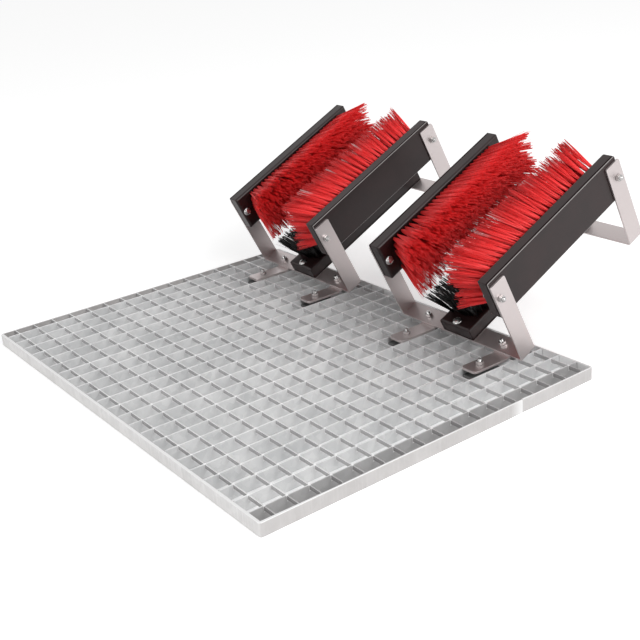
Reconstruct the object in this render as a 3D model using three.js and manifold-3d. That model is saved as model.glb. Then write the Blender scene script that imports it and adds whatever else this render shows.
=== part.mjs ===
// Boot scraper: a galvanised press-locked floor grating that carries two tilted brush units.
// Each unit has two U brackets, three plastic backed brushes and two foot straps bolted to the grating.
// Millimetres, +Z up. The origin is the middle bar crossing, on the underside of the grating.
// +X is the user's right, +Y is to the back, and the brush units stand along the rear edge.

import * as THREE from "three";
import { mergeVertices } from "three/addons/utils/BufferGeometryUtils.js";
import Module from "manifold-3d";

const wasm = await Module();
wasm.setup();

// General clearances
const fitGap = 0.3;
const shaftSteps = 8;
const headSteps = 8;
const domeSteps = 3;
const cornerSteps = 3;
const cutOver = 1;

// Grating
const pitch = 100 / 3;
const bearingBars = 23;
const crossBars = 17;
const barThickness = 2;
const bearingDepth = 20;
const crossDepth = 6;
const crossSink = 0.2;
const marginLeft = 24;
const marginRight = 28.5;
const marginFront = 26;
const marginRear = 20;

// Edging strip, a U section bent round the grating with one butt seam
const edgingWall = 2;
const edgingLip = 9;
const edgingCornerRadius = 5;
const seamWidth = 0.6;
const seamFromFront = 423;

// Fasteners, all of one thread size
const threadDiameter = 6;
const holeClearance = 0.6;
const hexSides = 6;
const hexAcrossFlats = 10;
const nutHeight = 5;
const hexHeadHeight = 4;
const domeHeadDiameter = 15;
const domeHeadHeight = 4;
const threadEnd = 4;

// Foot straps
const footWidth = 30;
const footThickness = 4;
const footFlatLength = 65;
const footCornerRadius = 6;
const footBendRadius = 6;
const footSetback = 17;
const footNutFromFront = 24;
const feetSpacing = 160;

// Stud plates welded between two bearing bars under each foot
const studPlateThickness = 4;
const studPlateLength = 58;
const studPlateBelowTop = 8;

// Cut-outs in the cross bars under the feet, counted in bars from the left front corner
const cutoutFrontBar = 12;
const cutoutRearBar = 15;
const footBarFromCentre = 2;

// Brush units
const unitBars = [-6, 6];
const unitShift = -9;
const tilt = THREE.MathUtils.degToRad(25.7);
const foldToBracket = 4.6;

// U brackets
const strapWidth = 30;
const strapThickness = 3;
const bracketWidth = 262;
const bracketHeight = 146;
const bracketBendRadius = 1.5;
const bracketCornerRadius = 3;
const screwHeight = 120;
const screwFromEnd = 9;
const rearOverhang = 4;

// Brush backs
const backLength = 290;
const backWidth = 65;
const backThickness = 22;
const backCornerRadius = 2;
const backCornerSteps = 2;
const backChamfer = 3;

// Side bristles
const sliceDepth = 2;
const bristleEndZone = 23;
const bristleEdgeZone = 5;
const strandColumns = 15;
const strandRows = 5;
const strandRoot = 1.6;
const strandTip = 1.2;
const strandReach = 70;
const fanAlong = 27;
const fanUp = 26;
const fanDown = 15;
const strandSink = 0.8;

// Bottom bristles
const bottomReach = 45;
const bottomRootHalf = 25;
const bottomTipHalf = 42;
const bottomFanAlong = 20;

const material = (color, roughness, metalness) =>
  new THREE.MeshStandardMaterial({ color, roughness, metalness });
const zinc = material(0xc2c5c6, 0.55, 0.8);
const stainless = material(0xb9aeab, 0.35, 0.9);
const boltSteel = material(0xcfcac6, 0.3, 0.9);
const blackPlastic = material(0x1b1a1c, 0.55, 0);
const redNylon = material(0xc4121a, 0.5, 0);
const blackNylon = material(0x141416, 0.5, 0);

// A closed three.js geometry as a solid that can be joined and cut
function solid(geometry) {
  const bare = geometry.index ? geometry.toNonIndexed() : geometry.clone();
  for (const name of Object.keys(bare.attributes)) {
    if (name !== "position") bare.deleteAttribute(name);
  }
  const merged = mergeVertices(bare, 1e-4);
  return new wasm.Manifold(
    new wasm.Mesh({
      numProp: 3,
      vertProperties: new Float32Array(merged.attributes.position.array),
      triVerts: new Uint32Array(merged.index.array),
    }),
  );
}

function geometryOf(body) {
  const mesh = body.getMesh();
  const geometry = new THREE.BufferGeometry();
  geometry.setAttribute("position", new THREE.BufferAttribute(mesh.vertProperties, 3));
  geometry.setIndex(new THREE.BufferAttribute(mesh.triVerts, 1));
  geometry.computeVertexNormals();
  return geometry;
}

const root = new THREE.Group();

function addMesh(parent, name, geometry, finish) {
  const mesh = new THREE.Mesh(geometry, finish);
  mesh.name = name;
  parent.add(mesh);
  return mesh;
}

function box(x0, x1, y0, y1, z0, z1) {
  return new THREE.BoxGeometry(x1 - x0, y1 - y0, z1 - z0).translate(
    (x0 + x1) / 2,
    (y0 + y1) / 2,
    (z0 + z1) / 2,
  );
}

function extrude(shape, depth) {
  return new THREE.ExtrudeGeometry(shape, {
    depth,
    bevelEnabled: false,
    curveSegments: cornerSteps,
  });
}

// A rectangle with rounded corners, as the outline of a shape or of a hole
function roundedRectangle(Outline, x0, x1, y0, y1, radius) {
  const path = new Outline();
  path.moveTo(x0 + radius, y0);
  path.lineTo(x1 - radius, y0);
  path.absarc(x1 - radius, y0 + radius, radius, -Math.PI / 2, 0, false);
  path.lineTo(x1, y1 - radius);
  path.absarc(x1 - radius, y1 - radius, radius, 0, Math.PI / 2, false);
  path.lineTo(x0 + radius, y1);
  path.absarc(x0 + radius, y1 - radius, radius, Math.PI / 2, Math.PI, false);
  path.lineTo(x0, y0 + radius);
  path.absarc(x0 + radius, y0 + radius, radius, Math.PI, Math.PI * 1.5, false);
  return path;
}

// A plain cylinder along +Z that starts at the given height
function rod(radius, z0, z1, sides = shaftSteps) {
  return new THREE.CylinderGeometry(radius, radius, z1 - z0, sides)
    .rotateX(Math.PI / 2)
    .translate(0, 0, (z0 + z1) / 2);
}

const hexRadius = hexAcrossFlats / 2 / Math.cos(Math.PI / hexSides);
const holeRadius = (threadDiameter + holeClearance) / 2;

// Grating sizes that follow from the mesh
const gratingTop = bearingDepth;
const halfRunX = ((bearingBars - 1) / 2) * pitch;
const halfRunY = ((crossBars - 1) / 2) * pitch;
const left = -halfRunX - marginLeft;
const right = halfRunX + marginRight;
const front = -halfRunY - marginFront;
const rear = halfRunY + marginRear;
const barX = (index) => index * pitch - halfRunX;
const barY = (index) => index * pitch - halfRunY;

// One bar's outline, seen from its side: full depth between the edging lips, with tongues in the channel
function barOutline(from, to, bottom, top) {
  const inset = edgingLip - edgingWall;
  const lower = edgingWall + fitGap;
  const upper = gratingTop - edgingWall - fitGap;
  const notched = bottom < lower;
  const shape = new THREE.Shape();
  shape.moveTo(from + inset, top);
  shape.lineTo(from + inset, upper);
  shape.lineTo(from, upper);
  shape.lineTo(from, Math.max(lower, bottom));
  if (notched) {
    shape.lineTo(from + inset, lower);
    shape.lineTo(from + inset, bottom);
    shape.lineTo(to - inset, bottom);
    shape.lineTo(to - inset, lower);
  }
  shape.lineTo(to, Math.max(lower, bottom));
  shape.lineTo(to, upper);
  shape.lineTo(to - inset, upper);
  shape.lineTo(to - inset, top);
  return shape;
}

function bearingBar(index) {
  const clear = edgingWall + fitGap;
  const outline = barOutline(front + clear, rear - clear, gratingTop - bearingDepth, gratingTop);
  return extrude(outline, barThickness)
    .rotateX(Math.PI / 2)
    .rotateZ(Math.PI / 2)
    .translate(barX(index) - barThickness / 2, 0, 0);
}

function crossBar(index) {
  const clear = edgingWall + fitGap;
  const top = gratingTop - crossSink;
  const outline = barOutline(left + clear, right - clear, top - crossDepth, top);
  return extrude(outline, barThickness)
    .rotateX(Math.PI / 2)
    .translate(0, barY(index) + barThickness / 2, 0);
}

// The bar index to the left of each foot's cell
const middleBar = (bearingBars - 1) / 2;
const footCells = unitBars.flatMap((bar) => [
  middleBar + bar - footBarFromCentre - 1,
  middleBar + bar + footBarFromCentre,
]);

function gratingCore() {
  let bars = null;
  for (let index = 0; index < crossBars; index += 1) {
    let bar = solid(crossBar(index));
    if (index > cutoutFrontBar && index < cutoutRearBar) {
      for (const cell of footCells) {
        const window = box(
          barX(cell),
          barX(cell) + pitch,
          barY(index) - barThickness,
          barY(index) + barThickness,
          0,
          gratingTop + cutOver,
        );
        bar = bar.subtract(solid(window));
      }
    }
    bars = bars ? bars.add(bar) : bar;
  }
  for (let index = 0; index < bearingBars; index += 1) {
    bars = bars.add(solid(bearingBar(index)));
  }
  return geometryOf(bars);
}

// The U section is a rounded block less its channel and less the window that holds the bars
function edgingStrip() {
  const block = (inset, radius, z0, z1) => {
    const shape = roundedRectangle(
      THREE.Shape,
      left + inset,
      right - inset,
      front + inset,
      rear - inset,
      radius,
    );
    return solid(extrude(shape, z1 - z0).translate(0, 0, z0));
  };
  const outside = block(0, edgingCornerRadius, 0, gratingTop);
  const channel = block(
    edgingWall,
    edgingCornerRadius - edgingWall,
    edgingWall,
    gratingTop - edgingWall,
  );
  const window = solid(
    box(
      left + edgingLip,
      right - edgingLip,
      front + edgingLip,
      rear - edgingLip,
      -cutOver,
      gratingTop + cutOver,
    ),
  );
  const seamY = front + seamFromFront;
  const seam = box(
    right - edgingLip * 2,
    right + edgingLip,
    seamY - seamWidth / 2,
    seamY + seamWidth / 2,
    -cutOver,
    gratingTop + cutOver,
  );
  return geometryOf(outside.subtract(channel).subtract(window).subtract(solid(seam)));
}

addMesh(root, "grating_core", gratingCore(), zinc);
addMesh(root, "edging_strip", edgingStrip(), zinc);

// Fastener shapes, each standing on z = 0 and pointing up
function hexNut() {
  const bore = rod(holeRadius, -cutOver, nutHeight + cutOver);
  return geometryOf(solid(rod(hexRadius, 0, nutHeight, hexSides)).subtract(solid(bore)));
}

function domeProfile() {
  const half = domeHeadDiameter / 2;
  const points = [new THREE.Vector2(0, -domeHeadHeight)];
  for (let step = 1; step <= domeSteps; step += 1) {
    const angle = (step / domeSteps) * (Math.PI / 2);
    points.push(new THREE.Vector2(half * Math.sin(angle), -domeHeadHeight * Math.cos(angle)));
  }
  return points;
}

// A domed head under z = 0 and its shank from z = 0 up to the given length
function domeScrew(length) {
  const points = domeProfile();
  points.push(new THREE.Vector2(threadDiameter / 2, 0));
  points.push(new THREE.Vector2(threadDiameter / 2, length));
  points.push(new THREE.Vector2(0, length));
  return new THREE.LatheGeometry(points, headSteps).rotateX(Math.PI / 2);
}

// A hexagon bolt with its nut run on: head under z = 0, nut seat at the grip height
function boltSet(grip) {
  const shank = solid(rod(threadDiameter / 2, -hexHeadHeight / 2, grip + nutHeight + threadEnd));
  const head = solid(rod(hexRadius, -hexHeadHeight, 0, hexSides));
  const nut = solid(rod(hexRadius, grip, grip + nutHeight, hexSides));
  return geometryOf(shank.add(head).add(nut));
}

// Where the foot strap folds up and where the tilted unit starts
const footFront = barY(cutoutFrontBar) + footSetback;
const footTop = gratingTop + fitGap + footThickness;
const foldY = footFront + footFlatLength;
const unitY = foldY + foldToBracket * Math.cos(tilt) - fitGap * Math.sin(tilt);
const unitZ = footTop + foldToBracket * Math.sin(tilt) + fitGap * Math.cos(tilt);
const slopeLength = foldToBracket + strapWidth;

// A foot strap about its own middle, in the grating's frame; its bolt hole follows the shifted unit
function footStrap() {
  const slope = (along, up) => [
    foldY + along * Math.cos(tilt) - up * Math.sin(tilt),
    footTop + along * Math.sin(tilt) + up * Math.cos(tilt),
  ];
  const halfTurn = Math.tan(tilt / 2);
  const innerRun = footBendRadius * halfTurn;
  const underFold = footThickness * halfTurn;
  const shape = new THREE.Shape();
  shape.moveTo(footFront, footTop - footThickness);
  shape.lineTo(foldY + underFold, footTop - footThickness);
  shape.lineTo(...slope(slopeLength, -footThickness));
  shape.lineTo(...slope(slopeLength, 0));
  shape.lineTo(...slope(innerRun, 0));
  shape.absarc(
    foldY - innerRun,
    footTop + footBendRadius,
    footBendRadius,
    -Math.PI / 2 + tilt,
    -Math.PI / 2,
    true,
  );
  shape.lineTo(footFront, footTop);
  const strap = solid(
    extrude(shape, footWidth)
      .rotateX(Math.PI / 2)
      .rotateZ(Math.PI / 2)
      .translate(-footWidth / 2, 0, 0),
  );
  const plan = roundedRectangle(
    THREE.Shape,
    -footWidth / 2,
    footWidth / 2,
    footFront,
    unitY + backLength,
    footCornerRadius,
  );
  const envelope = extrude(plan, backLength);
  const nutHole = rod(holeRadius, 0, footTop + footThickness).translate(
    0,
    footFront + footNutFromFront,
    0,
  );
  const boltHole = rod(holeRadius, -2 * footThickness, 2 * footThickness)
    .rotateX(tilt)
    .translate(unitShift, ...slope(foldToBracket + strapWidth / 2, 0));
  return geometryOf(
    strap.intersect(solid(envelope)).subtract(solid(nutHole)).subtract(solid(boltHole)),
  );
}

// The plate between two bearing bars, with the stud that comes up through the foot
function studPlate(studX) {
  const half = (pitch - barThickness) / 2 - fitGap;
  const top = gratingTop - studPlateBelowTop;
  const y = footFront + footNutFromFront;
  const plateFront = footFront + fitGap;
  const plate = solid(
    box(-half, half, plateFront, plateFront + studPlateLength, top - studPlateThickness, top),
  );
  const studTop = footTop + fitGap + nutHeight + threadEnd;
  const stud = solid(
    rod(threadDiameter / 2, top - studPlateThickness / 2, studTop).translate(studX, y, 0),
  );
  return geometryOf(plate.add(stud));
}

// A U bracket in the unit's frame: x across, y along the brushes, z up the arms.
// It starts at y0 and has a screw hole in each arm and in its run, and one for each foot bolt.
function bracket(y0, screwY, boltPlaces) {
  const half = bracketWidth / 2;
  const inner = half - strapThickness;
  const outerRadius = bracketBendRadius + strapThickness;
  const shape = new THREE.Shape();
  shape.moveTo(-half, bracketHeight);
  shape.lineTo(-half, outerRadius);
  shape.absarc(-half + outerRadius, outerRadius, outerRadius, Math.PI, Math.PI * 1.5, false);
  shape.lineTo(half - outerRadius, 0);
  shape.absarc(half - outerRadius, outerRadius, outerRadius, -Math.PI / 2, 0, false);
  shape.lineTo(half, bracketHeight);
  shape.lineTo(inner, bracketHeight);
  shape.lineTo(inner, outerRadius);
  shape.absarc(half - outerRadius, outerRadius, bracketBendRadius, 0, -Math.PI / 2, true);
  shape.lineTo(-half + outerRadius, strapThickness);
  shape.absarc(
    -half + outerRadius,
    outerRadius,
    bracketBendRadius,
    Math.PI * 1.5,
    Math.PI,
    true,
  );
  shape.lineTo(-inner, bracketHeight);
  const strap = solid(
    extrude(shape, strapWidth)
      .rotateX(Math.PI / 2)
      .translate(0, strapWidth, 0),
  );
  const side = roundedRectangle(
    THREE.Shape,
    0,
    strapWidth,
    -bracketHeight,
    bracketHeight,
    bracketCornerRadius,
  );
  const envelope = extrude(side, bracketWidth * 2)
    .rotateX(Math.PI / 2)
    .rotateZ(Math.PI / 2)
    .translate(-bracketWidth, 0, 0);
  const armHole = rod(holeRadius, -bracketWidth, bracketWidth)
    .rotateY(Math.PI / 2)
    .translate(0, screwY - y0, screwHeight);
  let body = strap.intersect(solid(envelope)).subtract(solid(armHole));
  const runHoles = [[0, screwY - y0], ...boltPlaces.map((x) => [x, strapWidth / 2])];
  for (const [x, y] of runHoles) {
    const hole = rod(holeRadius, -strapThickness, strapThickness * 2);
    body = body.subtract(solid(hole.translate(x, y, 0)));
  }
  return geometryOf(body).translate(0, y0, 0);
}

// Where the screws stand along every brush
const screwPlaces = { front: screwFromEnd, rear: backLength - screwFromEnd };

// A brush back lying flat: width along x, length along y, its bristle face up at z = 0
function brushBack() {
  const shape = roundedRectangle(
    THREE.Shape,
    -backWidth / 2 + backChamfer,
    backWidth / 2 - backChamfer,
    backChamfer,
    backLength - backChamfer,
    backCornerRadius,
  );
  const block = new THREE.ExtrudeGeometry(shape, {
    depth: backThickness - 2 * backChamfer,
    bevelEnabled: true,
    bevelThickness: backChamfer,
    bevelSize: backChamfer,
    bevelSegments: 1,
    curveSegments: backCornerSteps,
  }).translate(0, 0, backChamfer - backThickness);
  const recess = box(
    -backWidth / 2 + bristleEdgeZone,
    backWidth / 2 - bristleEdgeZone,
    bristleEndZone,
    backLength - bristleEndZone,
    -sliceDepth - fitGap,
    backThickness,
  );
  let body = solid(block).subtract(solid(recess));
  for (const y of Object.values(screwPlaces)) {
    const hole = rod(holeRadius, -backThickness * 2, backThickness);
    body = body.subtract(solid(hole.translate(0, y, 0)));
  }
  return geometryOf(body);
}

// The strip of the back that holds the bristles, in the same frame as the back
function backingSlice() {
  return box(
    -backWidth / 2 + bristleEdgeZone + fitGap,
    backWidth / 2 - bristleEdgeZone - fitGap,
    bristleEndZone + fitGap,
    backLength - bristleEndZone - fitGap,
    -sliceDepth,
    0,
  );
}

// One strand from its root to its tip, sunk a little into the backing
function strand(from, to) {
  const axis = to.clone().sub(from);
  const length = axis.length() + strandSink;
  const turn = new THREE.Quaternion().setFromUnitVectors(
    new THREE.Vector3(0, 1, 0),
    axis.clone().normalize(),
  );
  const start = from.clone().addScaledVector(axis.normalize(), -strandSink);
  return new THREE.CylinderGeometry(strandTip, strandRoot, length, 3)
    .translate(0, length / 2, 0)
    .applyQuaternion(turn)
    .translate(start.x, start.y, start.z);
}

// Side bristles fan out along the brush and up and down; side is +1 where +x is the upper edge
function sideBristles(side) {
  const rootHalf = backWidth / 2 - bristleEdgeZone - 2 * strandRoot;
  const rootFront = bristleEndZone + 2 * strandRoot;
  const rootRear = backLength - bristleEndZone - 2 * strandRoot;
  const upper = rootHalf + fanUp;
  const lower = -rootHalf - fanDown;
  let body = solid(backingSlice());
  for (let row = 0; row < strandRows; row += 1) {
    const across = row / (strandRows - 1);
    const stagger = (row % 2) * 0.5;
    for (let column = 0; column < strandColumns; column += 1) {
      const along = (column + stagger) / (strandColumns - 0.5);
      const from = new THREE.Vector3(
        side * THREE.MathUtils.lerp(-rootHalf, rootHalf, across),
        THREE.MathUtils.lerp(rootFront, rootRear, along),
        0,
      );
      const to = new THREE.Vector3(
        side * THREE.MathUtils.lerp(lower, upper, across),
        THREE.MathUtils.lerp(rootFront - fanAlong, rootRear + fanAlong, along),
        strandReach,
      );
      body = body.add(solid(strand(from, to)));
    }
  }
  return geometryOf(body);
}

// The dense bottom bristles as one flared block on the back
function bottomBristles() {
  const rootFront = bristleEndZone + 2 * strandRoot;
  const rootRear = backLength - rootFront;
  const corner = (halfX, y0, y1, z) => [
    -halfX, y0, z,
    halfX, y0, z,
    halfX, y1, z,
    -halfX, y1, z,
  ];
  const flare = new THREE.BufferGeometry();
  const points = [
    ...corner(bottomRootHalf, rootFront, rootRear, fitGap),
    ...corner(bottomTipHalf, rootFront - bottomFanAlong, rootRear + bottomFanAlong, bottomReach),
  ];
  flare.setAttribute("position", new THREE.Float32BufferAttribute(points, 3));
  flare.setIndex([
    0, 2, 1, 0, 3, 2, 4, 5, 6, 4, 6, 7,
    0, 1, 5, 0, 5, 4, 1, 2, 6, 1, 6, 5,
    2, 3, 7, 2, 7, 6, 3, 0, 4, 3, 4, 7,
  ]);
  flare.computeVertexNormals();
  return flare;
}

// Bottom bristles keep their root strip in the recess of the back
function bottomBrush() {
  const flare = solid(bottomBristles());
  const strip = box(
    -bottomRootHalf + strandRoot,
    bottomRootHalf - strandRoot,
    bristleEndZone + fitGap,
    backLength - bristleEndZone - fitGap,
    -sliceDepth,
    fitGap * 2,
  );
  return geometryOf(flare.add(solid(strip)));
}

const backOuter = bracketWidth / 2 - strapThickness - fitGap;
const screwLength = backThickness + 2 * fitGap + strapThickness + fitGap + nutHeight + threadEnd;
const brushPlaces = [
  { name: "left", turn: Math.PI / 2, x: -backOuter + backThickness, z: screwHeight, side: -1 },
  { name: "right", turn: -Math.PI / 2, x: backOuter - backThickness, z: screwHeight, side: 1 },
  { name: "bottom", turn: 0, x: 0, z: strapThickness + fitGap + backThickness, side: 0 },
];

// One brush in the unit's frame: back, bristles, two screws with nuts
function addBrush(unit, unitName, place) {
  const brush = new THREE.Group();
  brush.rotation.y = place.turn;
  brush.position.set(place.x, 0, place.z);
  unit.add(brush);
  const label = `${unitName}_${place.name}`;
  addMesh(brush, `${label}_back`, brushBack(), blackPlastic);
  if (place.side) {
    addMesh(brush, `${label}_bristles`, sideBristles(place.side), redNylon);
  } else {
    addMesh(brush, `${label}_bristles`, bottomBrush(), blackNylon);
  }
  const seat = -backThickness - fitGap - strapThickness - fitGap;
  for (const [end, y] of Object.entries(screwPlaces)) {
    const screw = addMesh(brush, `${label}_${end}_screw`, domeScrew(screwLength), boltSteel);
    screw.rotation.x = Math.PI;
    screw.position.set(0, y, fitGap);
    const nut = addMesh(brush, `${label}_${end}_nut`, hexNut(), boltSteel);
    nut.position.set(0, y, seat - nutHeight);
  }
}

function addUnit(name, bar) {
  const feetMiddle = bar * pitch;
  const footPlaces = { left: -feetSpacing / 2, right: feetSpacing / 2 };
  const unit = new THREE.Group();
  unit.position.set(feetMiddle + unitShift, unitY, unitZ);
  unit.rotation.x = tilt;
  root.add(unit);
  const frontBracket = bracket(0, screwPlaces.front, Object.values(footPlaces));
  const rearBracket = bracket(backLength + rearOverhang - strapWidth, screwPlaces.rear, []);
  addMesh(unit, `${name}_front_bracket`, frontBracket, stainless);
  addMesh(unit, `${name}_rear_bracket`, rearBracket, stainless);
  for (const place of brushPlaces) addBrush(unit, name, place);
  const grip = footThickness + strapThickness + 3 * fitGap;
  for (const [side, x] of Object.entries(footPlaces)) {
    const foot = addMesh(root, `${name}_${side}_foot`, footStrap(), stainless);
    foot.position.x = feetMiddle + x;
    const cellMiddle = feetMiddle + Math.sign(x) * (footBarFromCentre + 0.5) * pitch;
    const plate = studPlate(feetMiddle + x - cellMiddle);
    addMesh(root, `${name}_${side}_stud_plate`, plate, zinc).position.x = cellMiddle;
    const nut = addMesh(root, `${name}_${side}_foot_nut`, hexNut(), boltSteel);
    nut.position.set(feetMiddle + x, footFront + footNutFromFront, footTop + fitGap);
    const bolt = addMesh(unit, `${name}_${side}_foot_bolt`, boltSet(grip), boltSteel);
    bolt.position.set(x, strapWidth / 2, -footThickness - 2 * fitGap);
  }
}

addUnit("left_unit", unitBars[0]);
addUnit("right_unit", unitBars[1]);

export default root;
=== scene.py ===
import math

import bmesh
import bpy
import numpy as np
from mathutils import Matrix, Vector


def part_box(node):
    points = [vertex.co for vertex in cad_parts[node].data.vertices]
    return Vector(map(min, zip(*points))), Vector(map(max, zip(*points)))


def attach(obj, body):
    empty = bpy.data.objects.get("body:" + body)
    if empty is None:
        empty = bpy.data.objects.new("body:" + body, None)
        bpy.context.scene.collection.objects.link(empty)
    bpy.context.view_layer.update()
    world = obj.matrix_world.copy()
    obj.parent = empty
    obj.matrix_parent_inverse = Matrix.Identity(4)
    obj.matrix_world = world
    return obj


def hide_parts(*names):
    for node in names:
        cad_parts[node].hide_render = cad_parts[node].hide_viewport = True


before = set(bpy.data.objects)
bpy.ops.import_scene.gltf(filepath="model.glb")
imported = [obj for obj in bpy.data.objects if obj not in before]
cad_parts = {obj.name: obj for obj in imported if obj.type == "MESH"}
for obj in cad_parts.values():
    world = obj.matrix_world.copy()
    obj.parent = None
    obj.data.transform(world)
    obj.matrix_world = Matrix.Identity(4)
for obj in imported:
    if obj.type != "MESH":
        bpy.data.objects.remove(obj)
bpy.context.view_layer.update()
mm = 0.001
asDrawn = Matrix.Identity(4)  # for pieces that are drawn where they belong
rng = np.random.default_rng(11)
print("frame loaded")

# Camera, at the photograph's angle

cameraInfo = {
    "target": (-0.0351, 0.1203, 0.02),
    "azimuth": 54.65,  # degrees, 0 looks along +Y
    "elevation": 22.582,
    "distance": 1.7624,
    "roll": -4.584,
    "lens": 60.03,
    "sensor": 36,
    "sight": 50,  # far clipping, in metres
}


def makeCamera(info):
    az = math.radians(info["azimuth"])
    el = math.radians(info["elevation"])
    roll = math.radians(info["roll"])
    look = Vector((-math.sin(az) * math.cos(el), math.cos(az) * math.cos(el), -math.sin(el)))
    right = Vector((math.cos(az), math.sin(az), 0))
    up = right.cross(look)
    imageRight = math.cos(roll) * right + math.sin(roll) * up
    imageUp = -math.sin(roll) * right + math.cos(roll) * up
    turn = Matrix((imageRight, imageUp, -look)).transposed().to_4x4()
    data = bpy.data.cameras.new("photoCamera")
    data.lens = info["lens"]
    data.sensor_width = info["sensor"]
    data.clip_end = info["sight"]
    camera = bpy.data.objects.new("photoCamera", data)
    bpy.context.scene.collection.objects.link(camera)
    camera.matrix_world = Matrix.Translation(Vector(info["target"]) - look * info["distance"]) @ turn
    bpy.context.scene.camera = camera


makeCamera(cameraInfo)

# Node helpers


# Wires a socket to the input of that name, and sets any other value on the input or setting of that name
def fillNode(tree, node, **values):
    for key, value in values.items():
        name = key.replace("_", " ")
        if isinstance(value, bpy.types.NodeSocket):
            tree.links.new(value, node.inputs[name])
        elif name in node.inputs:
            node.inputs[name].default_value = value
        else:
            setattr(node, key, value)
    return node


def addNode(tree, kind, **values):
    return fillNode(tree, tree.nodes.new(kind), **values)


def addMath(tree, operation, *sources):
    node = addNode(tree, "ShaderNodeMath", operation=operation)
    for source, socket in zip(sources, node.inputs):
        tree.links.new(source, socket)
    return node.outputs["Value"]


def addVectorMath(tree, operation, source, *values):
    node = addNode(tree, "ShaderNodeVectorMath", operation=operation)
    tree.links.new(source, node.inputs[0])
    for index, value in enumerate(values, 1):
        node.inputs[index].default_value = value
    return node.outputs["Value" if operation == "LENGTH" else "Vector"]


def splitVector(tree, source):
    return addNode(tree, "ShaderNodeSeparateXYZ", Vector=source).outputs


def addCoordinates(tree):
    return tree.nodes.new("ShaderNodeTexCoord").outputs


def mapRange(tree, source, before, after):
    ends = {"From_Min": before[0], "From_Max": before[1], "To_Min": after[0], "To_Max": after[1]}
    return addNode(tree, "ShaderNodeMapRange", Value=source, **ends).outputs["Result"]


def addRamp(tree, source, colors, places=(0.3, 0.7)):
    ramp = addNode(tree, "ShaderNodeValToRGB", Fac=source)
    elements = ramp.color_ramp.elements
    while len(elements) < len(places):
        elements.new(0.5)
    for element, place, color in zip(elements, places, colors):
        element.position = place
        element.color = (*color, 1)
    return ramp.outputs["Color"]


def addNoise(tree, place, scale, detail):
    return addNode(tree, "ShaderNodeTexNoise", Vector=place, Scale=scale, Detail=detail).outputs["Fac"]


def mixColors(tree, share, under, over):
    mix = addNode(tree, "ShaderNodeMix", data_type="RGBA", Factor=share, A=under, B=over)
    return mix.outputs["Result"]


# Lays a colour over a material's own one where the mask is 1
def overlay(tree, shader, mask, color):
    under = shader.inputs["Base Color"].links[0].from_socket
    fillNode(tree, shader, Base_Color=mixColors(tree, mask, under, (*color, 1)))


def addBump(tree, shader, height, info):
    bump = addNode(tree, "ShaderNodeBump", Height=height, Strength=info["bump"], Distance=info["bumpDepth"])
    fillNode(tree, shader, Normal=bump.outputs["Normal"])


def newMaterial(name):
    material = bpy.data.materials.new(name)
    material.use_nodes = True
    tree = material.node_tree
    return material, tree, tree.nodes["Principled BSDF"]


def grey(value):
    return (value, value, value)


# Materials

zincInfo = {
    "dark": (0.59, 0.595, 0.60),
    "light": (0.77, 0.77, 0.77),
    "spangle": 110.0,
    "spangleShare": 0.22,
    "clouds": (16.0, 6.0),  # scale and detail of the noise
    "grain": (320.0, 4.0),
    "bump": 0.2,
    "bumpDepth": 0.0003,
    "rough": (0.42, 0.56),
    "metallic": 0.35,
}


# Hot dip zinc: soft clouds, crystal spangles and a fine grain
def zincMaterial(name, info):
    material, tree, shader = newMaterial(name)
    place = addCoordinates(tree)["Object"]
    spangle = addNode(tree, "ShaderNodeTexVoronoi", Vector=place, Scale=info["spangle"])
    clouds = addNoise(tree, place, *info["clouds"])
    grain = addNoise(tree, place, *info["grain"])
    blend = mixColors(tree, info["spangleShare"], clouds, spangle.outputs["Color"])
    color = addRamp(tree, blend, (info["dark"], info["light"]))
    rough = addRamp(tree, clouds, [grey(value) for value in info["rough"]])
    fillNode(tree, shader, Base_Color=color, Roughness=rough, Metallic=info["metallic"])
    addBump(tree, shader, grain, info)
    return material


# Near-black zinc for the stud plates: painted shade under the feet
paintedShadeZincInfo = {**zincInfo, "dark": grey(0.10), "light": grey(0.18), "metallic": 0.1}
gratingZincInfo = {
    **zincInfo,
    "pitch": 0.1 / 3,
    # Painted highlight at the top of each crossing, on zinc that is brighter at the weld
    "weldHighlight": (0.88, 0.88, 0.88),
    "weldRadius": (0.0013, 0.0021),  # full inside the first, gone past the second
    "weldDepth": (0.0105, 0.0125),
    # Painted shade colour, laid on the cross bars' sides and on the last bar's outer side
    "side": (0.22, 0.21, 0.21),
    "sideShadeFacing": (0.6, 0.95),
    "sideShadeShare": 0.52,
    "shadedLastBar": (0.3672, 0.3675),  # outer side of the bar next to the edging, darkened as painted shade
    "edgeBarShadeShare": 0.55,
}


# The bars' zinc has painted shade on the cross bars' sides and on the outer side of the last bar, and a
# painted highlight on brighter zinc where two bars are welded together
def gratingMaterial(info):
    material = zincMaterial("gratingZinc", info)
    tree = material.node_tree
    shader = tree.nodes["Principled BSDF"]
    coordinates = addCoordinates(tree)
    facing = splitVector(tree, coordinates["Normal"])
    place = splitVector(tree, coordinates["Object"])
    # Painted shade on the cross bars' sides
    side = addMath(tree, "ABSOLUTE", facing["Y"])
    sideShadeMask = mapRange(tree, side, info["sideShadeFacing"], (0, info["sideShadeShare"]))
    overlay(tree, shader, sideShadeMask, info["side"])
    # Painted shade on the outer side of the bar next to the edging
    edgeBarShadeMask = mapRange(tree, place["X"], info["shadedLastBar"], (0, info["edgeBarShadeShare"]))
    overlay(tree, shader, edgeBarShadeMask, info["side"])
    half = info["pitch"] / 2
    # Painted highlight on the weld at each crossing
    fromCrossing = addVectorMath(tree, "WRAP", coordinates["Object"], [half] * 3, [-half] * 3)
    flat = addVectorMath(tree, "MULTIPLY", fromCrossing, (1, 1, 0))
    near = mapRange(tree, addVectorMath(tree, "LENGTH", flat), info["weldRadius"], (1, 0))
    high = mapRange(tree, place["Z"], info["weldDepth"], (0, 1))
    overlay(tree, shader, addMath(tree, "MULTIPLY", near, high), info["weldHighlight"])
    return material


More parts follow.
